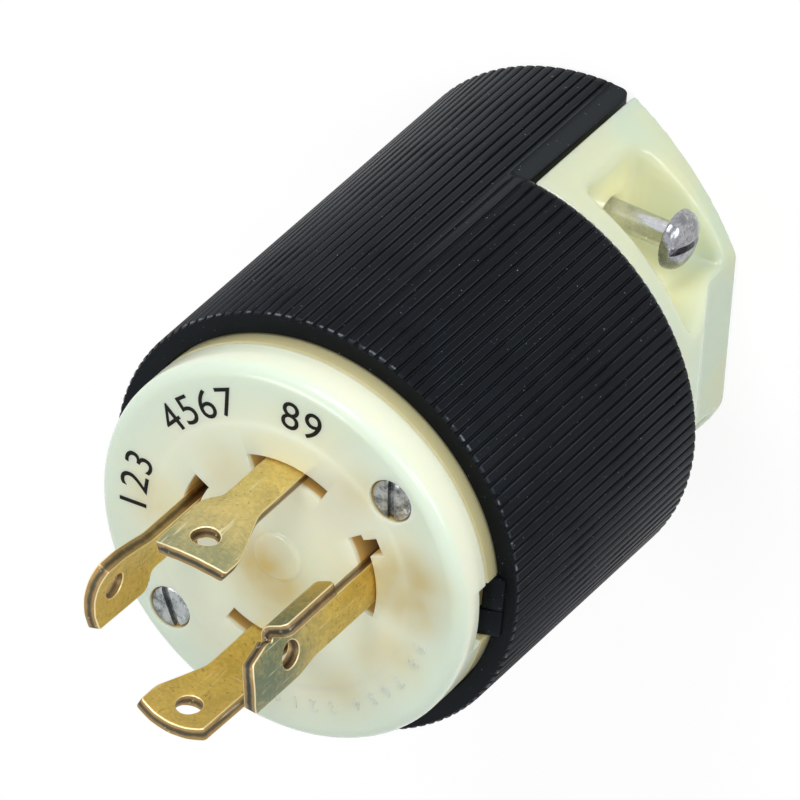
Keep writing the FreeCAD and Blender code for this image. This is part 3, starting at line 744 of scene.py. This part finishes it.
def shell_columns():
    """The shell's outlines all the way round, close together at the ribs and the tongue's edges."""
    edge = tongue_edge(VALLEY_R)
    start = TONGUE_MIDDLE - edge
    end = TONGUE_MIDDLE + edge
    per_mm = 360.0 / (2 * math.pi * VALLEY_R)
    grid = [(rib + step) * 360.0 / RIB_COUNT for rib in range(RIB_COUNT) for step in RIB_STEPS]
    inside = [a for a in grid if start + 0.36 * per_mm < a < end - 0.36 * per_mm]
    for offset in (0.0, 0.04, 0.12, 0.22, 0.35):
        inside += [start + offset * per_mm, end - offset * per_mm]
    outside = [a for a in grid if a > end + 0.05] + [a + 360.0 for a in grid if a < start - 0.05]
    columns = [shell_profile(a, True, min(a - start, end - a) / per_mm) for a in sorted(inside)]
    return columns + [shell_profile(a, False, 0.0) for a in [end] + outside + [start + 360.0]]


def shell_form():
    columns = shell_columns()
    rows = len(columns[0])
    verts = []
    shares = []
    for column in columns:
        for radius, z, share, angle in column:
            verts.append((*polar(radius, angle), z))
            shares.append(share)
    faces = []
    for k in range(len(columns)):
        after = (k + 1) % len(columns)
        for row in range(rows):
            above = (row + 1) % rows
            faces.append((k * rows + row, after * rows + row, after * rows + above, k * rows + above))
    piece = named_mesh("ribbed_shell", verts, faces)
    mark(piece, "rib", lambda vert: shares[vert.index])
    return piece


def shell_key():
    """The key that stands in the face's notch: two blocks with a facet on top of each."""
    low = block("key", (BORE_R - 1.7, -3.7, RIM_Z - 5.0), (BORE_R + 0.9, -0.35, RIM_Z + 1.5))
    high = block("key", (BORE_R - 1.35, -0.35, RIM_Z - 5.0), (BORE_R + 0.9, 3.7, RIM_Z + 1.1))
    for part in (low, high):
        top = max(vert.co.z for vert in part.data.vertices)
        for vert in part.data.vertices:
            if vert.co.z > top - 0.01 and vert.co.x > BORE_R:
                vert.co.z = RIM_Z + 0.35
        bevel(part, 0.22, 20.0)
    add_meshes(low, [high])
    return turn_z(low, KEY_TURN)


def screw_post(side):
    """A screw post inside the shell, from the web to the block."""
    outline = [(3.6, 22.9), (3.6, 29.9), (2.4, 29.9), (2.4, 25.9), (1.65, 25.9), (1.65, 22.9), (3.6, 22.9)]
    return lathe("post", outline, 40, at=Vector((SCREW_CIRCLE_R * side, 0, 0)))


def build_shell():
    piece = shell_form()
    run_tree(piece, rib_tree(), Rib_Count=RIB_COUNT, Rib_Depth=RIB_DEPTH, Crest_Share=0.50,
             Root_Share=0.10, Finish=BLACK)
    add_meshes(piece, [shell_key(), screw_post(1), screw_post(-1)])
    tidy_faces(piece)
    finish_piece(piece, ["outer_shell"], BLACK, 38.0)


# The face

BLADE_TURNS = {"blade_x": 43.2, "blade_y": 130.5, "blade_z": 221.0}
GROUND_TURN = -32.8
LIP_SIDE = 3.5
LIP_TURN = math.degrees(math.asin(LIP_SIDE / BLADE_R))
SLOT_GAP = 0.25
SLOT_HALF_WIDTH = 5.0
TOOL_BOTTOM = 45.0
TOOL_TOP = 66.0


def slot_tool(turn):
    """A curved slot's cutting tool."""
    outer = BLADE_R + SLOT_GAP
    inner = BLADE_R - SHEET - SLOT_GAP
    half = math.degrees(math.asin(SLOT_HALF_WIDTH / BLADE_R))
    steps = 22
    path = [polar(outer, turn - half + 2 * half * k / steps) for k in range(steps + 1)]
    path += [polar(inner, turn + half - 2 * half * k / steps) for k in range(steps + 1)]
    return prism("slot_tool", path, TOOL_BOTTOM, TOOL_TOP)


def lip_tool():
    """The cutting tool of the pocket for the ground blade's lip."""
    inner = BLADE_R - SHEET - SLOT_GAP
    pocket = block("lip_tool", (inner + 0.2, -1.0, TOOL_BOTTOM), (14.05, 1.0, TOOL_TOP))
    return turn_z(pocket, GROUND_TURN + LIP_TURN)


def notch_tool():
    """The cutting tool of the notch for the shell's key, higher on its outer side."""
    notch = block("notch", (BORE_R - 1.85, -3.85, 51.0), (BORE_R + 2, 3.85, 60.2))
    for vert in notch.data.vertices:
        if vert.co.z > 60.0 and vert.co.x > BORE_R:
            vert.co.z += 0.9
    return turn_z(notch, KEY_TURN)


def counterbore_tool(side):
    hole = [(0, 61.7), (2.6, 61.7), (2.6, TOOL_TOP), (0, TOOL_TOP)]
    return lathe("counterbore", hole, 64, at=Vector((SCREW_CIRCLE_R * side, 0, 0)))


def face_outline():
    """Half the face's section: back, flange with its groove, rounded edge, raised middle and boss."""
    edge = 1.6
    outline = [(0, BODY_BACK_Z), (22.7, BODY_BACK_Z), (22.7, RIM_Z), (BORE_R - 0.06, RIM_Z),
               (BORE_R - 0.04, RIM_Z + 1.7), (BORE_R - 0.22, RIM_Z + 1.85), (BORE_R - 0.22, RIM_Z + 1.95),
               (BORE_R - 0.06, RIM_Z + 2.15), (BORE_R, RIM_Z + 2.4)]
    for k in range(13):
        across, up = polar(edge, 90.0 * k / 12)
        outline.append((BORE_R - edge + across, FACE_Z - edge + up))
    middle = [(19.2, 0), (17.6, 0.01), (16.7, 0.03), (16.4, 0.06), (16.15, 0.12), (15.9, 0.19), (15.6, 0.23),
              (15.2, 0.25), (8.0, 0.25), (3.2, 0.25)]
    boss = [(3.0, 0.28), (2.88, 0.36), (2.76, 0.46), (2.6, 0.52), (2.3, 0.55), (0, 0.55)]
    return outline + [(radius, FACE_Z + rise) for radius, rise in middle + boss]


def build_face():
    piece = lathe("nylon_face", face_outline(), 240)
    tools = [slot_tool(turn) for turn in (*BLADE_TURNS.values(), GROUND_TURN)]
    cut_away(piece, tools + [lip_tool(), counterbore_tool(1), counterbore_tool(-1), notch_tool()])
    tidy_faces(piece, 0.001)
    bevel(piece, 0.13, 40.0)
    tidy_faces(piece, 0.001)
    finish_piece(piece, ["front_body"], CREAM, 40.0)


# The blades: flat sheets with eased edges, bent to the blade circle

SHEET_EASE = 0.16
TAIL_EASE = 0.1
PHASE_REACH = FACE_Z + 19.5
GROUND_REACH = FACE_Z + 23.5
SHOULDER_Z = FACE_Z + 9.0
PHASE_NECK = (-2.1, 2.9)
GROUND_NECK = (-3.3, 1.7)
LIP_FOLD = 2.75
LIP_FOLD_R = 1.0


def phase_path():
    low, high = PHASE_NECK
    top = PHASE_REACH
    return [(low, BODY_BACK_Z, 0), (high, BODY_BACK_Z, 0), (high, SHOULDER_Z, 1.2), (4.75, SHOULDER_Z, 1.6),
            (4.50, top - 0.6, 0.45), (2.5, top - 0.15, 4.0), (0.2, top, 6.0), (-2.2, top - 0.15, 4.0),
            (-4.4, top - 0.6, 0.45), (-4.4, FACE_Z + 16.0, 5.0), (low, SHOULDER_Z, 5.0)]


def ground_path():
    low, high = GROUND_NECK
    top = GROUND_REACH
    lip = LIP_SIDE + 3.0
    lip_end = FACE_Z + 18.8
    return [(low, BODY_BACK_Z, 0), (high, BODY_BACK_Z, 0), (high, SHOULDER_Z, 0.4), (lip, SHOULDER_Z, 0.9),
            (lip, lip_end, 0.9), (2.5, lip_end, 0.25), (3.0, FACE_Z + 19.6, 0.5), (2.1, top - 0.5, 0.7),
            (0.6, top - 0.1, 2.0), (-1.2, top, 3.0), (-2.8, top - 0.1, 2.0), (-4.2, top - 0.6, 0.6),
            (-4.2, FACE_Z + 14.6, 2.5), (low, FACE_Z + 11.6, 2.5)]


def bend_sheet(piece, fold_at=None):
    """Wraps a flat sheet round the blade circle; past fold_at its edge turns outwards."""
    middle = BLADE_R - SHEET / 2
    for vert in piece.data.vertices:
        along, height, across = vert.co.x, vert.co.y, vert.co.z
        if fold_at is None or along <= fold_at:
            turn = math.asin(max(min(along / BLADE_R, 1.0), -1.0))
            radius = middle + across
            vert.co = (radius * math.cos(turn), radius * math.sin(turn), height)
            continue
        turn = math.asin(fold_at / BLADE_R)
        outward = Vector((math.cos(turn), math.sin(turn)))
        side = Vector((-math.sin(turn), math.cos(turn)))
        past = along - fold_at
        swing = min(past / LIP_FOLD_R, math.pi / 2)
        normal = -outward * math.cos(swing) + side * math.sin(swing)
        point = outward * middle + outward * LIP_FOLD_R + normal * (LIP_FOLD_R - across)
        if past > LIP_FOLD_R * math.pi / 2:
            point += outward * (past - LIP_FOLD_R * math.pi / 2)
        vert.co = (point.x, point.y, height)
    piece.data.update()


def sheet_marks(piece, ease):
    """Notes which vertices are on an eased edge and which on a cut side, while the sheet is flat."""
    half = SHEET / 2
    mark(piece, "cut", lambda vert: float(half - abs(vert.co.z) > ease * 0.6))
    mark(piece, "edge", lambda vert: float(0.01 < half - abs(vert.co.z) <= ease * 0.99))
    mark(piece, "depth", lambda vert: vert.co.z / half)


def blade_tail(turn, neck):
    """The ears and the tail behind the face, which the block and the terminal hold."""
    ear_low, ear_high = neck[0] - 1.3, neck[1] + 1.3
    middle = (neck[0] + neck[1]) / 2
    tail_low, tail_high = middle - 2.3, middle + 2.3
    seat, end = 43.05, 32.0
    path = [(ear_low, BODY_BACK_Z, 0.2), (ear_low, seat, 0.2), (tail_low, seat, 0.3), (tail_low, end, 0.8),
            (tail_high, end, 0.8), (tail_high, seat, 0.3), (ear_high, seat, 0.2), (ear_high, BODY_BACK_Z, 0.2)]
    tail = flat_plate("tail", rounded_path(path, 4), round_hole(middle, 35.5, 1.8), SHEET, TAIL_EASE)
    sliced(tail, [ear_low + k * 0.55 for k in range(1, 14)])
    sheet_marks(tail, TAIL_EASE)
    bend_sheet(tail)
    mark(tail, "reach", lambda vert: 0.0)
    return turn_z(tail, turn)


def build_blade(node, turn, path, hole, bends, neck, material, fold_at=None):
    piece = flat_plate(node + "_sheet", rounded_path(path, 6), round_hole(*hole, 1.6), SHEET, SHEET_EASE)
    sliced(piece, bends)
    sheet_marks(piece, SHEET_EASE)
    bend_sheet(piece, fold_at)
    mark(piece, "reach", lambda vert: min(max((vert.co.z - FACE_Z) / 22.0, 0.0), 1.0))
    turn_z(piece, turn)
    tidy_faces(piece)
    add_meshes(piece, [blade_tail(turn, neck)])
    finish_piece(piece, [node], material, 40.0)


def build_blades():
    bends = [-4.4 + k * 0.4 for k in range(1, 23)]
    for node, turn in BLADE_TURNS.items():
        build_blade(node, turn, phase_path(), (0.3, FACE_Z + 15.7), bends, PHASE_NECK,
                    BRASS if node == "blade_x" else BRASS_CLEAN)
    bends = [-4.2 + k * 0.4 for k in range(1, 18)] + [LIP_FOLD + k * 0.14 for k in range(14)]
    build_blade("blade_ground", GROUND_TURN, ground_path(), (-0.3, FACE_Z + 16.4), bends, GROUND_NECK,
                BRASS_DULL, LIP_FOLD)


# Screws

def build_assembly_screws():
    """Both assembly screws from one, set out round the axis with their slots at different turns."""
    top = FACE_Z - 0.15
    outline = [(0, 25.2), (1.2, 25.2), (1.5, 25.5), (1.5, 61.75), (2.40, 61.75), (2.45, 61.85),
               (2.45, top - 0.28), (2.38, top - 0.12), (2.2, top - 0.02), (1.9, top + 0.02), (0, top + 0.06)]
    piece = lathe("assembly_screws", outline, 56)
    cut_away(piece, [block("slot", (-4, -0.40, top - 0.60), (4, 0.40, top + 1))])
    bevel(piece, 0.06, 40.0)
    run_tree(piece, place_tree(), Count=2, Circle_Radius=SCREW_CIRCLE_R, Start_Turn=0.0,
             First_Slot=math.radians(48.0), Slot_Step=math.radians(22.0), Finish=STEEL)
    tidy_faces(piece)
    finish_piece(piece, ["assembly_screw_1", "assembly_screw_2"], STEEL, 35.0)


def clamp_screw(side, seat, end):
    """A round-head screw from its nut's end to the top of its slotted head."""
    shank, head, rim = 1.55, 3.38, seat + 0.55
    outline = [(0, end), (1.2, end), (shank, end + 0.35), (shank, seat - 0.15), (1.7, seat), (3.2, seat),
               (3.42, seat + 0.12), (3.45, seat + 0.35), (head, rim)]
    for k in range(1, 8):
        turn = math.radians(90.0 * k / 8)
        outline.append((head * math.cos(turn), rim + 1.75 * math.sin(turn)))
    outline.append((0, seat + 2.3))
    place = Vector((CLAMP_SCREW_SIDE * side, 0, 9.0))
    screw = lathe("clamp_screws", outline, 64, about=Vector((0, -1, 0)), at=place)
    slot = block("slot", (-6, -seat - 4, -0.45), (6, -seat - 1.25, 0.45))
    slot.data.transform(Matrix.Translation(place) @ Matrix.Rotation(math.radians(95.0), 4, 'Y'))
    cut_away(screw, [slot])
    bevel(screw, 0.07, 40.0)
    return screw


def build_clamp_screws():
    seat, end = 14.0, -8.6
    piece = clamp_screw(1, seat, end)
    add_meshes(piece, [clamp_screw(-1, seat, end)])
    mark(piece, "shank", lambda vert: float(-vert.co.y < seat - 0.1))
    turn_z(piece, CLAMP_TURN)
    tidy_faces(piece)
    finish_piece(piece, ["clamp_screw_1", "clamp_screw_2"], BRIGHT_STEEL, 35.0)


# The cord clamp: the CAD form, remeshed and eased like a moulding

def node_copy(node, name):
    """A merged copy of a CAD node's mesh, in millimetres."""
    source = PLUG_NODES[node]
    piece = placed(name, source.data.copy())
    piece.data.transform(source.matrix_world)
    piece.data.transform(Matrix.Scale(1 / METRE, 4))
    with reshaped(piece) as form:
        bmesh.ops.remove_doubles(form, verts=form.verts, dist=0.002)
    return piece


def across_clamp(point):
    """A point's distances sideways from the clamp's middle and outwards from the split."""
    turn = math.radians(-CLAMP_TURN)
    side = abs(point.x * math.cos(turn) - point.y * math.sin(turn))
    out = -(point.x * math.sin(turn) + point.y * math.cos(turn))
    return side, out


def near_ledge(point):
    """How strongly the moulding's edges are eased at a point: most round the screw ledges."""
    side, out = across_clamp(point)
    share = 1.0
    for value, low, high in ((side, 9.5, 12.5), (point.z, 0.7, 2.2), (-point.z, -19.6, -18.0), (out, 4.5, 6.5)):
        share *= min(max((value - low) / (high - low), 0.0), 1.0)
    return share


def clamp_cavity(vert):
    """How deep a point lies in a screw's scooped ledge, from 0 to 1."""
    side, out = across_clamp(vert.co)
    depth = math.sqrt(max(25.0 ** 2 - side ** 2, 0.0)) - out
    if depth < 1.0 or vert.co.z < 2.0 or side < 9.5:
        return 0.0
    near = max(1.0 - math.hypot(side - CLAMP_SCREW_SIDE, vert.co.z - 10.5) / 9.5, 0.0)
    return min(max((depth - 1.5) / 5.0, 0.0), 1.0) * min(near * 1.7, 1.0)


def build_clamp():
    piece = node_copy("cord_clamp", "moulded_clamp")
    remesh = piece.modifiers.new("skin", 'REMESH')
    remesh.mode = 'VOXEL'
    remesh.voxel_size = 0.28
    bake(piece)
    ledges = piece.vertex_groups.new(name="ledges")
    for vert in piece.data.vertices:
        ledges.add([vert.index], near_ledge(vert.co), 'REPLACE')
    for iterations, group in ((12, ""), (190, "ledges")):
        ease = piece.modifiers.new("ease", 'SMOOTH')
        ease.factor = 0.5
        ease.iterations = iterations
        ease.vertex_group = group
    bake(piece)
    # The cavity value places painted shade and a painted glow in the ledges.
    mark(piece, "cavity", clamp_cavity)
    finish_piece(piece, ["cord_clamp"], CLAMP_NYLON)


# Plain figures on the face

def set_figures(name, line, radius, size, first, last, swell, depth, level):
    """Figures along an arc of the face, from the first turn to the last."""
    parts = []
    step = (last - first) / (len(line) - 1)
    for k, figure in enumerate(line):
        if figure == " ":
            continue
        text = bpy.data.curves.new("figure", 'FONT')
        text.body = figure
        text.size = size
        text.align_x = 'CENTER'
        text.extrude = depth
        text.offset = swell
        part = placed("figure", mesh_instead(placed("figure", text)))
        part.data.transform(Matrix.Translation((0, radius, level)))
        parts.append(turn_z(part, first + k * step - 90.0))
    piece = parts[0]
    piece.name = name
    add_meshes(piece, parts[1:])
    tidy_faces(piece)
    return piece


def build_numerals():
    printed = set_figures("printed_numerals", "123  4567  89", 16.75, 5.0, 139.0, 36.0, -0.01, 0.012,
                          FACE_Z + 0.035)
    raised = set_figures("raised_numerals", "0 1 2 3  4 5 6 7  8 9", 17.7, 2.1, -132.0, -58.0, 0.0, 0.09,
                         FACE_Z + 0.03)
    for piece, material in ((printed, INK), (raised, CREAM)):
        to_metres(piece)
        put_on(piece, material)
        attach(piece, "root")


# Hidden pieces keep their CAD form and get their finish

HIDDEN_FINISHES = (
    (("terminal_block", "fixed_jaw"), CREAM), (("dust_shield",), RUBBER),
    (("terminal_plate", "assembly_insert", "terminal_screw_x", "terminal_screw_y"), BRASS_CLEAN),
    (("terminal_screw", "clamp_nut"), STEEL))


def dress_hidden():
    """Gives each hidden piece the first finish that is listed for the start of its name."""
    for node, piece in PLUG_NODES.items():
        material = next((finish for starts, finish in HIDDEN_FINISHES if node.startswith(starts)), None)
        if material is None:
            continue
        if not piece.material_slots:
            piece.data.materials.append(material)
        for place in piece.material_slots:
            place.material = material


# Floor, light and camera

def directly_seen(wiring):
    """A mask of the rays that should meet a white background: camera, glossy and transmission."""
    path = wiring.node('ShaderNodeLightPath').outputs
    seen = wiring.math('MAXIMUM', path["Is Camera Ray"], path["Is Glossy Ray"])
    return wiring.math('MAXIMUM', seen, path["Is Transmission Ray"])


def build_floor():
    form = bmesh.new()
    bmesh.ops.create_circle(form, cap_ends=True, segments=64, radius=3.0)
    floor = from_bmesh("floor", form)
    floor.data.transform(Matrix.Translation((0, 0, -0.00005)))
    material = bpy.data.materials.new("pale_floor")
    material.use_nodes = True
    material.node_tree.nodes.clear()
    wiring = Wiring(material.node_tree)
    grain = wiring.noise(wiring.node('ShaderNodeTexCoord').outputs["Object"], 60.0, 2.0)
    pale = wiring.mix(wiring.ramp(grain, 0.3, 0.7), (0.93, 0.93, 0.93), (0.95, 0.95, 0.95))
    matt = wiring.node('ShaderNodeBsdfDiffuse', {"Color": pale}).outputs[0]
    glow = wiring.node('ShaderNodeEmission', {"Color": (1, 1, 1, 1), "Strength": 1.12}).outputs[0]
    share = wiring.times(directly_seen(wiring), 0.74)
    blend = wiring.node('ShaderNodeMixShader', {0: share, 1: matt, 2: glow}).outputs[0]
    wiring.node('ShaderNodeOutputMaterial', {"Surface": blend})
    floor.data.materials.append(material)


def build_world():
    world = bpy.data.worlds.new("studio")
    bpy.context.scene.world = world
    world.use_nodes = True
    world.node_tree.nodes.clear()
    wiring = Wiring(world.node_tree)
    strength = wiring.scaled(directly_seen(wiring), 0.60, 0.40)
    shine = wiring.node('ShaderNodeBackground', {"Color": (0.95, 0.98, 1, 1), "Strength": strength})
    wiring.node('ShaderNodeOutputWorld', {"Surface": shine.outputs[0]})


def seen_from_camera(right, up, toward):
    """A place given in the picture's own directions, in metres from the plug's middle."""
    across = Vector((0.64032, -0.55142, -0.53472))
    upward = Vector((0.31132, 0.82272, -0.47562))
    near = Vector((0.70219, 0.13808, 0.69848))
    return Vector((0, 0, 0.04)) + across * right + upward * up + near * toward


def softbox(name, place, aim_z, size, watts, colour=(1, 1, 1)):
    """A square area light aimed at a point on the plug's axis; all in metres."""
    light = bpy.data.lights.new(name, 'AREA')
    light.shape = 'RECTANGLE'
    light.size = size
    light.size_y = size
    light.energy = watts
    light.color = colour
    holder = placed(name, light)
    holder.location = seen_from_camera(*place)
    way = Vector((0, 0, aim_z)) - holder.location
    holder.rotation_euler = way.to_track_quat('-Z', 'Y').to_euler()


def build_lights():
    softbox("key_light", (-0.25, 0.70, 1.00), 0.04, 0.5, 6.0)
    softbox("fill_light", (0.9, 0.1, 0.8), 0.04, 0.6, 5.0, (0.95, 1.0, 0.99))
    softbox("front_light", (0.35, 0.05, 1.2), 0.03, 0.5, 2.2)
    softbox("low_light", (-0.9, -0.3, 0.6), 0.05, 0.4, 2.5, (1.0, 0.99, 0.95))


def build_camera():
    """A long lens aimed near the plug's middle and rolled, as in the photograph."""
    camera = bpy.data.cameras.new("photo_camera")
    camera.sensor_width = 36.0
    camera.lens = 722.9
    camera.clip_start = 0.1
    camera.clip_end = 20.0
    holder = placed("photo_camera", camera)
    place = Vector((1.208247, 0.241432, 1.237963))
    aim = Vector((-0.000708, 0.003699, 0.035398))
    level = (aim - place).to_track_quat('-Z', 'Y').to_matrix()
    holder.location = place
    holder.rotation_euler = (level @ Matrix.Rotation(math.radians(-131.6522), 3, 'Z')).to_euler()
    bpy.context.scene.camera = holder


bpy.context.scene.view_settings.view_transform = 'Standard'
build_camera()
build_world()
build_lights()
build_floor()

build_shell()
build_face()
build_blades()
build_assembly_screws()
build_clamp()
build_clamp_screws()
build_numerals()
dress_hidden()
